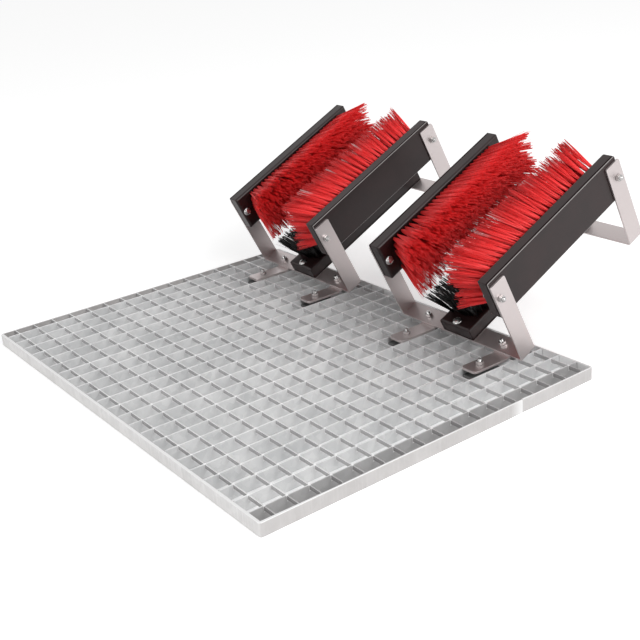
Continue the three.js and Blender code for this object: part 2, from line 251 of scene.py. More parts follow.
edgingZincInfo = {
    **zincInfo,
    "dark": (0.56, 0.55, 0.545),
    "light": (0.69, 0.68, 0.675),
    "streak": (0.74, 0.73, 0.73),
    "streakScale": (260, 260, 14),
    "streakNoise": (1.0, 3.0),
    "streakRange": (0.5, 0.72),
    "streakShare": 0.5,
    # Painted shade on the faces that look towards +X
    "rightShade": (0.36, 0.34, 0.335),
    "rightShadeFacing": (0.5, 0.95),
    "rightShadeShare": 0.5,
    # Painted light on the upward faces; the edging also brightens to this tone towards its seam
    "litTopAndSeamTone": (0.78, 0.78, 0.78),
    "litTopFacing": (0.3, 0.8),
    "seamShine": (0.119, 0.1408),  # grows brighter towards the seam
    "seamEnd": (0.1408, 0.1411),
    "seamShare": 0.9,
    # Painted light on the inner side of the rear strip, which lies in shade
    "rearInnerLight": (0.92, 0.92, 0.92),
    "rearInnerFacing": (-0.9, -0.5),
    "rearInnerPlace": (0.25, 0.26),
}


# The edging has painted light on its upward faces and painted shade on its right side, brightens towards
# its seam end, has painted light on the inner side of its rear, and its sides have faint upright streaks
def edgingMaterial(info):
    material = zincMaterial("edgingZinc", info)
    tree = material.node_tree
    shader = tree.nodes["Principled BSDF"]
    coordinates = addCoordinates(tree)
    facing = splitVector(tree, coordinates["Normal"])
    place = splitVector(tree, coordinates["Object"])
    stretched = addVectorMath(tree, "MULTIPLY", coordinates["Object"], info["streakScale"])
    streaks = addNoise(tree, stretched, *info["streakNoise"])
    streakMask = mapRange(tree, streaks, info["streakRange"], (0, info["streakShare"]))
    overlay(tree, shader, streakMask, info["streak"])
    # Painted shade on the right side
    rightShadeMask = mapRange(tree, facing["X"], info["rightShadeFacing"], (0, info["rightShadeShare"]))
    overlay(tree, shader, rightShadeMask, info["rightShade"])
    shine = mapRange(tree, place["Y"], info["seamShine"], (0, info["seamShare"]))
    stop = mapRange(tree, place["Y"], info["seamEnd"], (1, 0))
    overlay(tree, shader, addMath(tree, "MULTIPLY", shine, stop), info["litTopAndSeamTone"])
    # Painted light on the rear strip's inner side
    inner = mapRange(tree, facing["Y"], info["rearInnerFacing"], (1, 0))
    rear = mapRange(tree, place["Y"], info["rearInnerPlace"], (0, 1))
    overlay(tree, shader, addMath(tree, "MULTIPLY", inner, rear), info["rearInnerLight"])
    # Painted light on the upward faces
    overlay(tree, shader, mapRange(tree, facing["Z"], info["litTopFacing"], (0, 1)), info["litTopAndSeamTone"])
    return material


steelInfo = {
    "tint": (0.57, 0.515, 0.51),
    "shade": 0.95,  # share of the tint in the darker clouds
    "grain": (700.0, 2.0),
    "clouds": (7.0, 2.0),
    "rough": 0.4,
    "roughSpread": 0.02,
    "metallic": 0.9,
}
boltSteelInfo = {**steelInfo, "tint": (0.47, 0.455, 0.45), "rough": 0.2}


# Cold rolled strip: an even satin with faint clouds and a very fine grain
def steelMaterial(name, info):
    material, tree, shader = newMaterial(name)
    place = addCoordinates(tree)["Object"]
    grain = addNoise(tree, place, *info["grain"])
    clouds = addNoise(tree, place, *info["clouds"])
    tint, rough, spread = info["tint"], info["rough"], info["roughSpread"]
    color = addRamp(tree, clouds, (tuple(c * info["shade"] for c in tint), tint))
    gloss = addRamp(tree, grain, (grey(rough - spread), grey(rough + spread)))
    fillNode(tree, shader, Base_Color=color, Roughness=gloss, Metallic=info["metallic"])
    return material


plasticInfo = {
    "dark": (0.010, 0.004, 0.004),
    "light": (0.020, 0.009, 0.009),
    # Pale rim colour: wear and painted highlight
    "wornAndLit": (0.27, 0.25, 0.245),
    "clouds": (22.0, 5.0),
    "cloudPlaces": (0.3, 0.75),
    "grain": (420.0, 3.0),
    "bump": 0.15,
    "bumpDepth": 0.0002,
    "rough": (0.30, 0.40),
    "gloss": 0.35,
}


# The lid's rim is painted pale, partly wear and partly a painted highlight, as an attribute of each back
# says
def plasticMaterial(name, info):
    material, tree, shader = newMaterial(name)
    place = addCoordinates(tree)["Object"]
    grain = addNoise(tree, place, *info["grain"])
    clouds = addNoise(tree, place, *info["clouds"])
    wearAndHighlight = addNode(tree, "ShaderNodeAttribute", attribute_name="rimWearAndHighlight")
    base = addRamp(tree, clouds, (info["dark"], info["light"]), info["cloudPlaces"])
    color = mixColors(tree, wearAndHighlight.outputs["Fac"], base, (*info["wornAndLit"], 1))
    rough = addRamp(tree, clouds, [grey(value) for value in info["rough"]], info["cloudPlaces"])
    fillNode(tree, shader, Base_Color=color, Roughness=rough, Specular_IOR_Level=info["gloss"])
    addBump(tree, shader, grain, info)
    return material


redNylonInfo = {
    "dark": (0.70, 0.002, 0.003),
    "light": (1.0, 0.05, 0.052),
    # Painted glint colour for pale strand tips
    "pale": (1.0, 0.9, 0.9),
    "rough": 0.42,
    "gloss": 0.45,
}
blackNylonInfo = {
    "dark": (0.003, 0.003, 0.003),
    "light": (0.009, 0.008, 0.008),
    # Painted glint colour for pale strand tips
    "pale": (0.6, 0.6, 0.6),
    "rough": 0.35,
    "gloss": 0.35,
}
lightTone = 0.85


# Each strand has its own tone, from dark at 0 through light to a pale painted glint at 1
def bristleMaterial(name, info):
    material, tree, shader = newMaterial(name)
    tone = addNode(tree, "ShaderNodeAttribute", attribute_name="strandTone").outputs["Fac"]
    color = addRamp(tree, tone, (info["dark"], info["light"], info["pale"]), (0.0, lightTone, 1.0))
    fillNode(tree, shader, Base_Color=color, Roughness=info["rough"], Specular_IOR_Level=info["gloss"])
    return material


gratingZinc = gratingMaterial(gratingZincInfo)
edgingZinc = edgingMaterial(edgingZincInfo)
paintedShadeZinc = zincMaterial("paintedShadeZinc", paintedShadeZincInfo)
stainless = steelMaterial("satinStainless", steelInfo)
boltSteel = steelMaterial("boltSteel", boltSteelInfo)
blackPlastic = plasticMaterial("blackPlastic", plasticInfo)
redNylon = bristleMaterial("redNylon", redNylonInfo)
blackNylon = bristleMaterial("blackNylon", blackNylonInfo)
print("materials made")

# Mesh helpers


def declarePiece(piece, nodeNames):
    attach(piece, "root")
    if nodeNames:
        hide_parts(*nodeNames)


def linkPiece(piece, nodeNames):
    bpy.context.scene.collection.objects.link(piece)
    declarePiece(piece, nodeNames)
    return piece


def meshFrom(name, points, faces, place):
    mesh = bpy.data.meshes.new(name)
    mesh.from_pydata([tuple(p) for p in points], [], faces)
    mesh.transform(place @ Matrix.Scale(mm, 4))
    return mesh


# Merges points that fell together, turns the faces outward and sets the shading
def tidyMesh(mesh, smoothAngle):
    work = bmesh.new()
    work.from_mesh(mesh)
    bmesh.ops.remove_doubles(work, verts=work.verts, dist=1e-6)
    bmesh.ops.recalc_face_normals(work, faces=work.faces)
    work.to_mesh(mesh)
    work.free()
    mesh.shade_smooth()
    mesh.set_sharp_from_angle(angle=math.radians(smoothAngle))


# Large flat faces keep a flat shading next to small rounded edges
def evenNormals(piece):
    modifier = piece.modifiers.new("evenNormals", "WEIGHTED_NORMAL")
    modifier.keep_sharp = True


def addPiece(name, skin, material, place, nodeNames=(), smoothAngle=35.0):
    mesh = meshFrom(name, *skin, place)
    tidyMesh(mesh, smoothAngle)
    mesh.materials.append(material)
    evenNormals(linkPiece(bpy.data.objects.new(name, mesh), nodeNames))


def joinLists(parts):
    points, faces = [], []
    for partPoints, partFaces in parts:
        shift = len(points)
        points.extend(partPoints)
        faces.extend([tuple(i + shift for i in face) for face in partFaces])
    return points, faces


# Rings of equal length become a closed skin, round in a loop or with a cap at each end
def skinRings(rings, closed=False):
    size = len(rings[0])
    points = [p for ring in rings for p in ring]
    faces = []
    count = len(rings)
    for k in range(count if closed else count - 1):
        a, b = k * size, (k + 1) % count * size
        for i in range(size):
            j = (i + 1) % size
            faces.append((a + i, a + j, b + j, b + i))
    if not closed:
        faces.append(tuple(range(size - 1, -1, -1)))
        faces.append(tuple((count - 1) * size + i for i in range(size)))
    return points, faces


# The angles of a quarter circle, in equal steps
def quarterTurn(steps):
    return [math.pi / 2 * k / steps for k in range(steps + 1)]


# Corner points with a radius at each; an open path keeps its two ends sharp
def roundCorners(corners, radii, steps, closed=True):
    count = len(corners)
    path = []
    for i, (corner, radius) in enumerate(zip(corners, radii)):
        corner = Vector(corner)
        if not closed and i in (0, count - 1):
            path.append(corner)
            continue
        back = (Vector(corners[i - 1]) - corner).normalized()
        ahead = (Vector(corners[(i + 1) % count]) - corner).normalized()
        half = back.angle(ahead) / 2
        centre = corner + (back + ahead).normalized() * (radius / math.sin(half))
        reach = radius / math.tan(half)
        start, end = corner + back * reach - centre, corner + ahead * reach - centre
        for k in range(steps + 1):
            path.append(centre + start.slerp(end, k / steps).normalized() * radius)
    return path


def roundedRectangle(x0, x1, y0, y1, radius, steps):
    corners = ((x0, y0), (x1, y0), (x1, y1), (x0, y1))
    return roundCorners(corners, [radius] * 4, steps)


def circle(radius, z, steps):
    angles = [2 * math.pi * k / steps for k in range(steps)]
    return [(radius * math.cos(a), radius * math.sin(a), z) for a in angles]


# A profile of radius and height, turned round the Z axis
def turnProfile(profile, steps):
    return skinRings([circle(radius, z, steps) for radius, z in profile])


# Floor, backdrop and light

stageInfo = {
    "size": 30.0,
    "drop": 0.0002,  # how far the floor lies under the mat
    "floorGrey": 0.86,
    "floorRough": 0.9,
    "floorLift": 0.4,
    "underMatShadeLift": 0.08,  # inside the mat's edging, painted shade under the mat
    "skyStrength": 0.62,
}
lampInfo = {
    "keyLamp": {"place": (2.8, 0.1, 2.0), "target": (0, 0.1, 0.05), "size": (2.0, 2.0), "power": 72},
    "fillLamp": {"place": (0.2, -2.8, 0.6), "target": (0, 0, 0.1), "size": (2.4, 1.0), "power": 17},
}


# The floor's lift, less where the mat covers it, as painted shade under the mat
def floorLift(tree, info):
    low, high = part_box("edging_strip")
    middle, half = (low + high) / 2, (high - low) / 2
    shifted = addVectorMath(tree, "SUBTRACT", addCoordinates(tree)["Object"], (middle.x, middle.y, 0))
    spread = addVectorMath(tree, "DIVIDE", shifted, (half.x - mm, half.y - mm, 1))
    sides = splitVector(tree, addVectorMath(tree, "ABSOLUTE", spread))
    larger = addMath(tree, "MAXIMUM", sides["X"], sides["Y"])
    return mapRange(tree, larger, (1, 1.0001), (info["underMatShadeLift"], info["floorLift"]))


# 1 for rays that come from the camera or from a mirror or glass, 0 for light that reaches a surface
def seenRays(tree):
    rays = tree.nodes.new("ShaderNodeLightPath").outputs
    direct = addMath(tree, "MAXIMUM", rays["Is Camera Ray"], rays["Is Glossy Ray"])
    return addMath(tree, "MAXIMUM", direct, rays["Is Transmission Ray"])


def makeFloor(info):
    half = info["size"] / 2
    mesh = bpy.data.meshes.new("floor")
    corners = [(-half, -half, 0), (half, -half, 0), (half, half, 0), (-half, half, 0)]
    mesh.from_pydata(corners, [], [(0, 1, 2, 3)])
    floor = bpy.data.objects.new("floor", mesh)
    floor.location.z = -info["drop"]
    bpy.context.scene.collection.objects.link(floor)
    material, tree, shader = newMaterial("paleFloor")
    fillNode(tree, shader, Base_Color=(*grey(info["floorGrey"]), 1), Roughness=info["floorRough"])
    fillNode(tree, shader, Specular_IOR_Level=0, Emission_Color=(1, 1, 1, 1))
    lift = addMath(tree, "MULTIPLY", seenRays(tree), floorLift(tree, info))
    fillNode(tree, shader, Emission_Strength=lift)
    mesh.materials.append(material)


def makeSky(info):
    world = bpy.data.worlds.new("paleWorld")
    bpy.context.scene.world = world
    world.use_nodes = True
    tree = world.node_tree
    pick = addNode(tree, "ShaderNodeMix", Factor=seenRays(tree), A=info["skyStrength"], B=1.0)
    fillNode(tree, tree.nodes["Background"], Color=(1, 1, 1, 1), Strength=pick.outputs["Result"])


def addLamp(name, info):
    data = bpy.data.lights.new(name, "AREA")
    data.shape = "RECTANGLE"
    data.size, data.size_y = info["size"]
    data.energy = info["power"]
    lamp = bpy.data.objects.new(name, data)
    bpy.context.scene.collection.objects.link(lamp)
    aim = (Vector(info["target"]) - Vector(info["place"])).to_track_quat("-Z", "Y")
    lamp.matrix_world = Matrix.Translation(info["place"]) @ aim.to_matrix().to_4x4()


makeFloor(stageInfo)
makeSky(stageInfo)
for lampName, info in lampInfo.items():
    addLamp(lampName, info)
print("stage made")

# Grating: bearing bars along Y, cross bars along X, and a small zinc collar at each crossing

gratingInfo = {
    "pitch": 100 / 3,
    "bearingBars": 23,
    "crossBars": 17,
    "thickness": 2,
    "height": 20,
    "crossDepth": 6,
    "crossSink": 0.2,
    "edge": 0.55,  # rounding along the bars
    "tongues": {"front": 2.4, "rear": 0.8, "left": 0.8, "right": 2.4},  # length inside the edging
    "tongueInset": 2.3,
    "archLength": 1.2,
    "archSteps": 5,
    "collarReach": 2.0,
    "collarFoot": 0.8,  # share of its reach at the lower end
    "collarDrop": 0.3,  # how far it runs below the cross bar
    "collarTop": 19.95,
    "cutBars": (13, 14),  # cross bars that stop beside the feet
    "cutCells": (2, 7, 14, 19),
}


# One bar that runs along s, and arches down to its tongue at each end that reaches the edging
def barRings(info, start, end, low, high, sides, openEnds=(True, True)):
    lowEnd = max(low, info["tongueInset"])
    highEnd = info["height"] - info["tongueInset"]

    def barEnd(edge, inward, side, isOpen):
        if not isOpen:
            return [(edge, low, high)]
        tongue = info["tongues"][side]
        places = [(edge, lowEnd, highEnd)]
        for angle in quarterTurn(info["archSteps"]):
            rise = math.sin(angle)
            s = edge + inward * tongue + inward * info["archLength"] * (1 - math.cos(angle))
            places.append((s, lowEnd + (low - lowEnd) * rise, highEnd + (high - highEnd) * rise))
        return places

    places = barEnd(start, 1, sides[0], openEnds[0]) + barEnd(end, -1, sides[1], openEnds[1])[::-1]
    half = info["thickness"] / 2
    rings = []
    for s, z0, z1 in places:
        section = roundedRectangle(-half, half, z0, z1, info["edge"], 3)
        rings.append([(p.x, s, p.y) for p in section])
    return rings


# The stretches of one cross bar, as start, end and whether each end reaches the edging
def crossStretches(info, index, x0, x1):
    if index not in info["cutBars"]:
        return [(x0, x1, (True, True))]
    middle = (info["bearingBars"] - 1) / 2
    stretches = []
    start, atEdging = x0, True
    for cell in info["cutCells"]:
        cut = (cell - middle) * info["pitch"]
        stretches.append((start, cut, (atEdging, False)))
        start, atEdging = cut + info["pitch"], False
    stretches.append((start, x1, (False, True)))
    return stretches


# Both sides of every cell that lost its cross bars
def cutSides(info):
    middle = (info["bearingBars"] - 1) / 2
    return [(cell + side - middle) * info["pitch"] for cell in info["cutCells"] for side in (0, 1)]


def makeCollar(info, x, y):
    crossTop = info["height"] - info["crossSink"]
    foot = crossTop - info["crossDepth"] - info["collarDrop"]
    rings = []
    for z, share in ((foot, info["collarFoot"]), (info["collarTop"], 1.0)):
        c = info["collarReach"] * share
        rings.append([(x + c, y, z), (x, y + c, z), (x - c, y, z), (x, y - c, z)])
    return skinRings(rings)


def barObject(name, parts):
    mesh = meshFrom(name, *joinLists(parts), asDrawn)
    tidyMesh(mesh, 35)
    bars = bpy.data.objects.new(name, mesh)
    bpy.context.scene.collection.objects.link(bars)
    return bars


def union(piece, helper):
    join = piece.modifiers.new("join", "BOOLEAN")
    join.operation = "UNION"
    join.solver = "MANIFOLD"
    join.object = helper
    bpy.context.view_layer.update()
    shown = piece.evaluated_get(bpy.context.evaluated_depsgraph_get())
    joined = bpy.data.meshes.new_from_object(shown)
    piece.modifiers.clear()
    piece.data = joined
    bpy.data.objects.remove(helper)


def makeGrating(info, nodeName):
    low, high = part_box(nodeName)
    x0, x1, y0, y1 = low.x / mm, high.x / mm, low.y / mm, high.y / mm
    barX = [(i - (info["bearingBars"] - 1) / 2) * info["pitch"] for i in range(info["bearingBars"])]
    barY = [(j - (info["crossBars"] - 1) / 2) * info["pitch"] for j in range(info["crossBars"])]
    crossTop = info["height"] - info["crossSink"]
    crossLow = crossTop - info["crossDepth"]
    bearing, cross, collars = [], [], []
    for x in barX:
        points, faces = skinRings(barRings(info, y0, y1, 0, info["height"], ("front", "rear")))
        bearing.append(([(x + px, py, pz) for px, py, pz in points], faces))
    for index, y in enumerate(barY):
        for start, end, openEnds in crossStretches(info, index, x0, x1):
            rings = barRings(info, start, end, crossLow, crossTop, ("left", "right"), openEnds)
            points, faces = skinRings(rings)
            cross.append(([(py, y + px, pz) for px, py, pz in points], faces))
    for x in barX:
        besideCut = any(abs(x - side) < 1 for side in cutSides(info))
        for index, y in enumerate(barY):
            if not (besideCut and index in info["cutBars"]):
                collars.append(makeCollar(info, x, y))
    piece = barObject("gratingBars", bearing)
    union(piece, barObject("crossBars", cross))
    union(piece, barObject("collars", collars))
    tidyMesh(piece.data, 30)
    piece.data.materials.clear()
    piece.data.materials.append(gratingZinc)
    evenNormals(piece)
    declarePiece(piece, [nodeName])


makeGrating(gratingInfo, "grating_core")

# Edging: a U section bent round the bars, with one butt seam on the right

edgingInfo = {
    "wall": 2,
    "lips": {"front": 4.6, "rear": 2.8, "left": 2.8, "right": 2.8},
    "lipFade": 110,  # the right lip starts as wide as the front one and is down to its own width here
    "height": 20,
    "edges": (1.0, 0.5, 0.3, 0.3, 0.3, 0.3, 0.7, 1.1),  # roundings from the outer bottom to the outer top
    "cornerRadius": 5,
    "cornerSteps": 8,
    "seamWidth": 1.0,
    "seamFromFront": 434,
    "seamStep": 1.2,  # how far one end stands in from the other
    "seamBend": 30,
}


def edgingSection(info, lip):
    wall, top = info["wall"], info["height"]
    lower = [(0, 0), (lip, 0), (lip, wall), (wall, wall)]
    upper = [(wall, top - wall), (lip, top - wall), (lip, top), (0, top)]
    return roundCorners(lower + upper, info["edges"], 4)


def makeEdging(info, nodeName):
    low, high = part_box(nodeName)
    left, right, front, rear = low.x / mm, high.x / mm, low.y / mm, high.y / mm
    seam = front + info["seamFromFront"]
    half = info["seamWidth"] / 2
    lips, radius = info["lips"], info["cornerRadius"]

    def straightRing(y, inset):
        return [(right - inset - p.x, y, p.y) for p in edgingSection(info, lips["right"])]

    rings = [straightRing(seam + half, info["seamStep"]), straightRing(seam + info["seamBend"], 0)]
    corners = (
        (right, rear, 1, 1, lips["right"], lips["rear"]),
        (left, rear, -1, 1, lips["rear"], lips["left"]),
        (left, front, -1, -1, lips["left"], lips["front"]),
        (right, front, 1, -1, lips["front"], lips["front"]),
    )
    for turn, (x, y, sx, sy, lipBefore, lipAfter) in enumerate(corners):
        for k in range(info["cornerSteps"] + 1):
            share = k / info["cornerSteps"]
            angle = math.pi / 2 * (turn + share)
            ring = []
            for p in edgingSection(info, lipBefore + (lipAfter - lipBefore) * share):
                inner, spoke = max(p.x, radius), radius - min(p.x, radius)
                ringX = x - sx * inner + spoke * math.cos(angle)
                ringY = y - sy * inner + spoke * math.sin(angle)
                ring.append((ringX, ringY, p.y))
            rings.append(ring)
    rings += [straightRing(front + info["lipFade"], 0), straightRing(seam - half, 0)]
    addPiece("edgingStrip", skinRings(rings), edgingZinc, asDrawn, [nodeName])


makeEdging(edgingInfo, "edging_strip")
print("grating made")

# The unit's frame, read from the front bracket: x across, y along the brushes, z up the arms

unitInfo = {"tilt": 25.7, "strapWidth": 30, "strapThickness": 3, "clearance": 0.3}


def unitMatrix(unitName):
    low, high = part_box(f"{unitName}_front_bracket")
    tilt = math.radians(unitInfo["tilt"])
    y = high.y - unitInfo["strapWidth"] * mm * math.cos(tilt)
    return Matrix.Translation(((low.x + high.x) / 2, y, low.z)) @ Matrix.Rotation(tilt, 4, "X")


# Brush backs: a moulded block, round on the bristle side, and a flat lid with a groove above it

backInfo = {
    "width": 65,
    "length": 290,
    "thickness": 22,
    "cornerRadius": 1.5,
    "leastRadius": 0.5,  # of the corners where the outline is drawn in
    "faceRadius": 4.5,  # rounding on the bristle side
    "lidHeight": 1.8,
    "grooveWidth": 2.0,
    "grooveDepth": 1.4,
    "slope": 0.2,  # of the groove's sides
    "rimRadius": 0.6,
    "wornAndLitBand": 0.3,  # how far the wear and painted highlight run in from the rim
}


# Height below the bristle face, how far in from the sides, and how much wear and painted highlight the
# plastic has there
def backLevels(info):
    radius, bottom, slope = info["faceRadius"], -info["thickness"], info["slope"]
    levels = [(-radius * (1 - math.cos(a)), radius * (1 - math.sin(a)), 0) for a in quarterTurn(6)]
    lid, deep, rim = bottom + info["lidHeight"], info["grooveDepth"], info["rimRadius"]
    top = lid + info["grooveWidth"]
    levels += [(top, 0, 0), (top - slope, deep, 0), (lid + slope, deep, 0), (lid, 0, 0)]
    levels.append((bottom + rim + slope, 0, 0))
    levels += [(bottom + rim * (1 - math.sin(a)), rim * (1 - math.cos(a)), 1) for a in quarterTurn(4)]
    levels.append((bottom, rim + info["wornAndLitBand"], 0))
    return levels


def makeBack(name, info, place, nodeName):
    x, y = info["width"] / 2, info["length"]
    rings, wearAndHighlight = [], []
    for z, inset, wornAndLit in backLevels(info):
        radius = max(info["leastRadius"], info["cornerRadius"] - inset)
        outline = roundedRectangle(-x + inset, x - inset, inset, y - inset, radius, 5)
        rings.append([(p.x, p.y, z) for p in outline])
        wearAndHighlight += [wornAndLit] * len(outline)
    mesh = meshFrom(name, *skinRings(rings), place)
    attribute = mesh.attributes.new("rimWearAndHighlight", "FLOAT", "POINT")
    attribute.data.foreach_set("value", wearAndHighlight)
    tidyMesh(mesh, 40)
    mesh.materials.append(blackPlastic)
    evenNormals(linkPiece(bpy.data.objects.new(name, mesh), [nodeName]))


# Straps: a rounded flat section swept along crisp bends, with rounded ends

strapInfo = {"edge": 0.5, "bendSteps": 6, "endRadius": 3, "endSteps": 6}


# The path lies in its own plane; the strap's width runs across that plane from y0
def strapRings(path, y0, width, thickness, endRadii):
    steps = strapInfo["endSteps"]
    lengths = [0.0]
    for a, b in zip(path, path[1:]):
        lengths.append(lengths[-1] + (b - a).length)
    total = lengths[-1]
    places = set(lengths)
    for radius, fromEnd in zip(endRadii, (False, True)):
        for angle in quarterTurn(steps):
            d = radius * (1 - math.cos(angle))
            places.add(total - d if fromEnd else d)
    rings = []
    for d in sorted(places):
        k = min(max(i for i in range(len(lengths)) if lengths[i] <= d + 1e-9), len(path) - 2)
        t = (d - lengths[k]) / max(lengths[k + 1] - lengths[k], 1e-9)
        centre = path[k].lerp(path[k + 1], t)
        atCorner = t < 1e-6 and k > 0
        along = ((path[k + 1] - path[k - 1]) if atCorner else (path[k + 1] - path[k])).normalized()
        side = Vector((-along.y, along.x))
        inset = 0.0
        for radius, gone in zip(endRadii, (d, total - d)):
            if gone < radius:
                inset = radius - math.sqrt(max(radius**2 - (radius - gone) ** 2, 0))
        half = width / 2 - inset
        ring = []
        for p in roundedRectangle(-half, half, -thickness / 2, thickness / 2, strapInfo["edge"], 2):
            point = centre + side * p.y
            ring.append((point.x, y0 + width / 2 + p.x, point.y))
        rings.append(ring)
    return rings


bracketInfo = {"width": 262, "height": 146, "bend": 3, "rearStart": 264}


def makeBracket(name, info, nodeName, place, y0):
    thickness, radius = unitInfo["strapThickness"], strapInfo["endRadius"]
    half, low, height = info["width"] / 2 - thickness / 2, thickness / 2, info["height"]
    corners = [(-half, height), (-half, low), (half, low), (half, height)]
    path = roundCorners(corners, [info["bend"]] * 4, strapInfo["bendSteps"], closed=False)
    skin = skinRings(strapRings(path, y0, unitInfo["strapWidth"], thickness, (radius, radius)))
    addPiece(name, skin, stainless, place, [nodeName])


footInfo = {
    "spacing": 160,
    "width": 30,
    "thickness": 4,
    "flatLength": 65,
    "slopeLength": 34.6,
    "bend": 5,
    "frontRadius": 6,
    "rearRadius": 0.6,
    "nutTurn": 0.35,
}


def makeFoot(name, info, nodeName):
    low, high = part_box(nodeName)
    tilt = math.radians(unitInfo["tilt"])
    thickness, width = info["thickness"], info["width"]
    lost = thickness / 2 * math.tan(tilt / 2)
    fold, slope = info["flatLength"] + lost, info["slopeLength"] - lost
    x, y = fold + slope * math.cos(tilt), thickness / 2 + slope * math.sin(tilt)
    corners = [(0, thickness / 2), (fold, thickness / 2), (x, y)]
    path = roundCorners(corners, [info["bend"]] * 3, strapInfo["bendSteps"], closed=False)
    radii = (info["frontRadius"], info["rearRadius"])
    points, faces = skinRings(strapRings(path, -width / 2, width, thickness, radii))
    turned = [(-y, x, z) for x, y, z in points]
    place = Matrix.Translation(((low.x + high.x) / 2, low.y, low.z))
    addPiece(name, (turned, faces), stainless, place, [nodeName])


# Fasteners

fastenerInfo = {
    "thread": 3,  # radius
    "pitch": 1,
    "threadDepth": 0.4,
    "threadLength": 12,  # how much of a shank is threaded
    "threadEnd": 4,  # how far it stands out of its nut
    "tipChamfer": 0.8,
    "pole": 0.3,  # radius of the flat at a turned end
    "across": 10,
    "cornerCut": 0.98,  # share of the half width that the chamfer leaves at a face
    "chamferSlope": 1.73,
    "chamferDepths": (0, 0.15, 0.3, 0.45, 0.6),
    "boreGap": 0.05,
    "boreChamfer": 0.5,
    "nutHeight": 5,
    "headHeight": 4,
    "domeRadius": 7.5,
    "domeHeight": 4,
    "domeLip": 0.3,
    "steps": 48,
}


# Hexagon outline cut back by the turned chamfer at the given depth below a face
def hexRadius(info, angle, depth):
    apothem = info["across"] / 2
    flat = apothem / math.cos((angle + math.pi / 6) % (math.pi / 3) - math.pi / 6)
    return min(flat, apothem * info["cornerCut"] + depth * info["chamferSlope"])


def makeNut(name, place, nodeNames):
    info = fastenerInfo
    height, depths = info["nutHeight"], info["chamferDepths"]
    bore, entry = info["thread"] + info["boreGap"], info["boreChamfer"]
    hole = [(bore + entry, height), (bore, height - entry), (bore, entry), (bore + entry, 0)]
    rings = []
    for k in range(info["steps"]):
        angle = 2 * math.pi * k / info["steps"]
        section = [(hexRadius(info, angle, d), d) for d in depths]
        section += [(hexRadius(info, angle, d), height - d) for d in reversed(depths)]
        rings.append([(r * math.cos(angle), r * math.sin(angle), z) for r, z in section + hole])
    addPiece(name, skinRings(rings, closed=True), boltSteel, place, nodeNames)


# The profile of a threaded end that runs up from its tip to the given height
def threadProfile(info, tip, top):
    radius, deep, pitch, chamfer = info["thread"], info["threadDepth"], info["pitch"], info["tipChamfer"]
    profile = [(info["pole"], tip), (radius - chamfer, tip), (radius, tip + chamfer)]
    z = tip + chamfer
    while z + pitch < top:
        profile += [(radius - deep, z + pitch / 2), (radius, z + pitch)]
        z += pitch
    return profile + [(radius, top)]


def makeScrew(name, place, nodeNames, tip):
    info = fastenerInfo
    seat, dome, lip = unitInfo["clearance"], info["domeRadius"], info["domeLip"]
    profile = threadProfile(info, tip, tip + info["threadLength"])
    profile += [(info["thread"], seat), (dome - lip, seat), (dome, seat + lip)]
    for angle in quarterTurn(9)[1:-1]:
        rise = (info["domeHeight"] - lip) * math.sin(angle)
        profile.append((dome * math.cos(angle), seat + lip + rise))
    profile.append((info["pole"], seat + info["domeHeight"]))
    addPiece(name, turnProfile(profile, info["steps"]), boltSteel, place, nodeNames)


def makeBolt(name, place, nodeNames, length):
    info = fastenerInfo
    steps = info["steps"]
    rings = []
    for depth, z in [(d, d - info["headHeight"]) for d in info["chamferDepths"]] + [(1, 0)]:
        ring = []
        for k in range(steps):
            angle = 2 * math.pi * k / steps
            radius = hexRadius(info, angle, depth)
            ring.append((radius * math.cos(angle), radius * math.sin(angle), z))
        rings.append(ring)
    for radius, z in reversed(threadProfile(info, 0, info["threadLength"])):
        rings.append(circle(radius, length - z, steps))
    addPiece(name, skinRings(rings), boltSteel, place, nodeNames)


plateInfo = {"depth": 8, "thickness": 4, "edge": 0.5, "cornerRadius": 1.5, "studProud": 2}


# The plate under a foot, hung between two bearing bars, and its stud; the plate's near-black zinc is
# painted shade under the foot
def makeStudPlate(name, info, nodeName, nutName):
    low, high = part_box(nodeName)
    x0, x1, y0, y1 = low.x / mm, high.x / mm, low.y / mm, high.y / mm
    top, edge = gratingInfo["height"] - info["depth"], info["edge"]
    bottom = top - info["thickness"]
    rings = []
    for z, inset in ((bottom, edge), (bottom + edge, 0), (top - edge, 0), (top, edge)):
        radius = info["cornerRadius"]
        outline = roundedRectangle(x0 + inset, x1 - inset, y0 + inset, y1 - inset, radius, 3)
        rings.append([(p.x, p.y, z) for p in outline])
    addPiece(name, skinRings(rings), paintedShadeZinc, asDrawn, [nodeName])
    nutLow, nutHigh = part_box(nutName)
    middle = (nutLow + nutHigh) / 2
    length = high.z / mm - top + info["studProud"]
    profile = [(r, length - z) for r, z in reversed(threadProfile(fastenerInfo, 0, length))]
    place = Matrix.Translation((middle.x, middle.y, (top - info["studProud"]) * mm))
    skin = turnProfile(profile, fastenerInfo["steps"])
    addPiece(name + "Stud", skin, boltSteel, place)


# Bristles

bristleInfo = {
    "rows": 6,
    "columns": 26,
    "stagger": 0.37,  # of each row against the one before, in columns
    "endRoom": 0.15,  # columns left over at the far end
    "locks": 9,  # pointed locks in each tuft
    "perLock": 10,
    "loose": 0.15,  # share of strands that keep to no lock
    "looseReach": 0.6,
    "rootRadius": 1.9,
    "rootDepth": 1.5,
    "lockPlaces": (0, 0.3, 0.6, 1),  # along a lock, and how wide it is there, with lockTip at the end
    "lockShares": (0.3, 1, 1),
    "lockTip": 0.45,
    "uneven": 1.6,  # how far the strands' lengths differ
    "unevenLimits": (-5, 4),
    "stray": 0.06,  # share of locks and strands that stand away from the rest
    "lockVary": 0.2,  # difference in tone between locks, and between strands
    "strandVary": 0.1,
    "tipVary": 1,  # how much of that difference the tips keep
    "paleBelow": 0.86,  # tone of a pale lock below its tip, where its painted glint begins
    "radius": 0.4,
    "taper": (1.1, 0.6),
}
